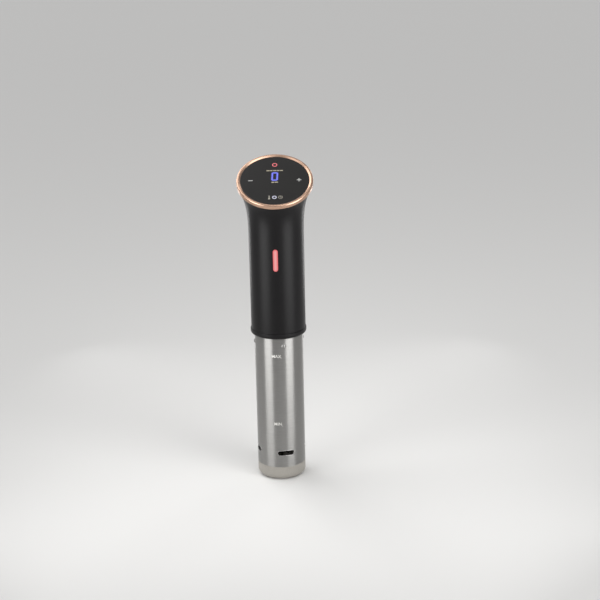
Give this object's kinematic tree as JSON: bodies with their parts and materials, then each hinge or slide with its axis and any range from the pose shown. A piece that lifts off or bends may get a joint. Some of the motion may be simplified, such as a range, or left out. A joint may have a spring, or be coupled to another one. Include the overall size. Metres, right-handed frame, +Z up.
{
  "type": "sous vide circulator",
  "caption": "Immersion circulator for sous vide cooking: black body with a tilted round glass control head, steel sleeve with side slots, satin end cap, and a sprung pot clip at the back.",
  "frame": {"origin": "centre of the end cap's flat underside, on the tube's axis", "axes": "+Z up along the tube's axis, -Y to the front, where the tilted head and the light bar face"},
  "size_m": [0.084, 0.0899, 0.3688],
  "materials": {
    "black_shell": "fine satin texture",
    "bezel_bronze": "satin anodised",
    "panel_glass": "polished dark",
    "status_lens": "translucent, lit",
    "sleeve_steel": "fine brushed",
    "cap_plastic": "satin",
    "inner_plastic": "plain",
    "circuit_board": "solder mask",
    "display_module": "smooth",
    "foam_pad": "plain",
    "black_rubber": "plain",
    "screw_steel": "plain",
    "polished_steel": "polished",
    "spring_steel": "plain",
    "motor_iron": "dark",
    "magnet": "ferrite",
    "bearing_steel": "polished",
    "bush_brass": "plain",
    "relay_case": "plain",
    "capacitor_can": "sleeved",
    "heatsink_aluminium": "plain",
    "terminal_green": "plain"
  },
  "bodies": {
    "body": {"housing": "black_shell", "collar_ring": "black_shell", "bulkhead": "inner_plastic", "bulkhead_seal": "black_rubber", "bulkhead_screws": "screw_steel", "bezel_ring": "bezel_bronze", "glass_gasket": "black_rubber", "touch_glass": "panel_glass", "display_carrier": "inner_plastic", "display_board": "circuit_board", "led_display": "display_module", "touch_pads": "foam_pad", "buzzer": "display_module", "display_screws": "screw_steel", "light_bar": "status_lens", "light_bar_board": "circuit_board", "inner_frame": "inner_plastic", "frame_screws": "screw_steel", "power_board": "circuit_board", "relay": "relay_case", "transformer": "motor_iron", "capacitors": "capacitor_can", "triac_heatsink": "heatsink_aluminium", "terminal_block": "terminal_green", "cord_gland": "black_rubber", "gland_nut": "inner_plastic", "motor_can": "polished_steel", "motor_end_plate": "polished_steel", "motor_magnets": "magnet", "motor_bearings": "bearing_steel", "motor_screws": "screw_steel", "shaft_seal": "black_rubber", "shaft_tube": "polished_steel", "pump_bush": "bush_brass", "heater": "polished_steel", "temperature_probe": "polished_steel", "level_pins": "polished_steel", "clip_bracket": "black_shell", "clip_screws": "screw_steel", "clip_pin": "polished_steel", "clip_spring": "spring_steel"},
    "rotor": {"motor_rotor": "motor_iron", "drive_shaft": "polished_steel", "impeller": "inner_plastic", "impeller_nut": "screw_steel"},
    "clip": {"clip_lever": "black_shell", "clip_pad": "black_rubber"},
    "sleeve": {"sleeve": "sleeve_steel", "sleeve_studs": "sleeve_steel"},
    "cap": {"end_cap": "cap_plastic"}
  },
  "joints": [
    {"name": "impeller_spin", "type": "hinge", "parent": "body", "child": "rotor", "pos_m": [0, 0, 0.1], "axis": [0, 0, 1], "continuous": true},
    {"name": "clip_pivot", "type": "hinge", "parent": "body", "child": "clip", "pos_m": [0, 0.04, 0.215], "axis": [1, 0, 0], "range_deg": [0, 14], "stiffness_Nm_per_rad": 0.4, "springref_deg": -20.05, "deforming": ["clip_spring"]},
    {"name": "sleeve_pull", "type": "slide", "parent": "body", "child": "sleeve", "axis": [0, 0, -1], "range_m": [0, 0.162]},
    {"name": "cap_pull", "type": "slide", "parent": "sleeve", "child": "cap", "axis": [0, 0, -1], "range_m": [0, 0.03]}
  ]
}
